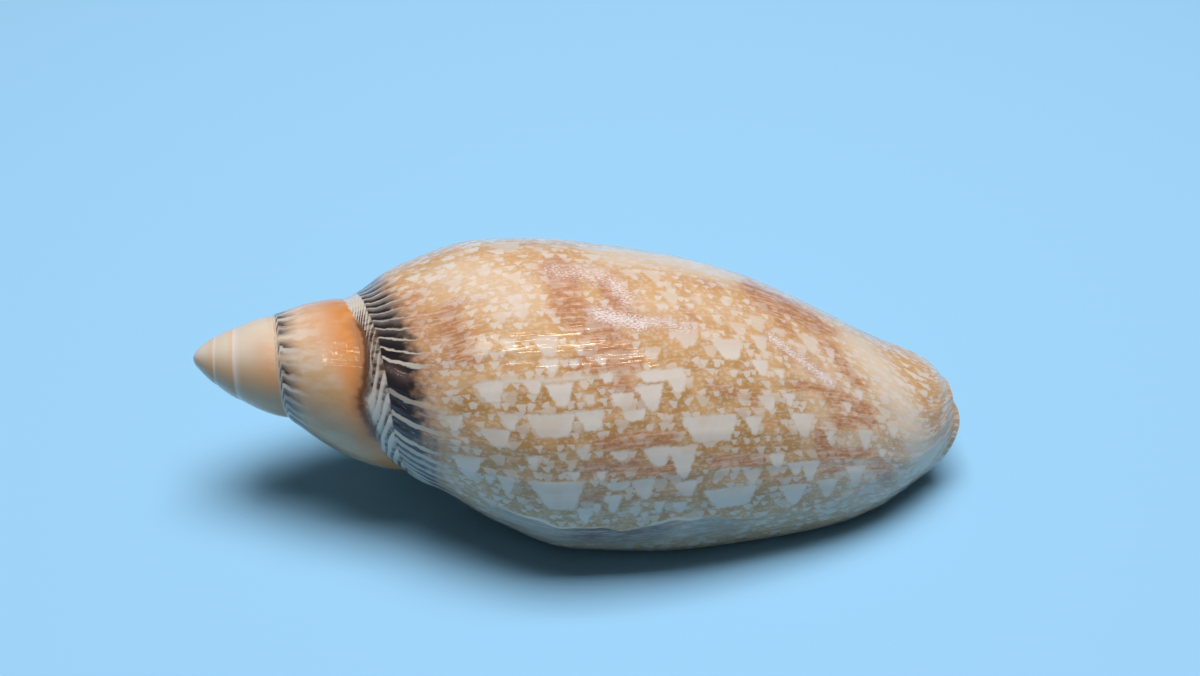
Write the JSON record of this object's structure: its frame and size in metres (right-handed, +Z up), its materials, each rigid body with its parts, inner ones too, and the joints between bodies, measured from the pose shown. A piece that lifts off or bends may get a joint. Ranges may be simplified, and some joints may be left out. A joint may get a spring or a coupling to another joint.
{
  "type": "volute shell",
  "caption": "Spindle-shaped sea-snail shell with a pointed spire, a long swollen last whorl and a slit mouth, lying mouth down; one hollow piece.",
  "frame": {"origin": "middle of the bounding box, on the surface that the shell lies on", "axes": "+X towards the anterior end, the apex at -X; +Z up; the lip on the -Y side; the shell coils to the right"},
  "size_m": [0.095, 0.0376, 0.0338],
  "materials": {
    "shell": "glossy aragonite shell: cream tents on a fine tan network, red-brown patches, dark dashes beside the sutures"
  },
  "bodies": {
    "root": {"shell": "shell"}
  },
  "joints": []
}
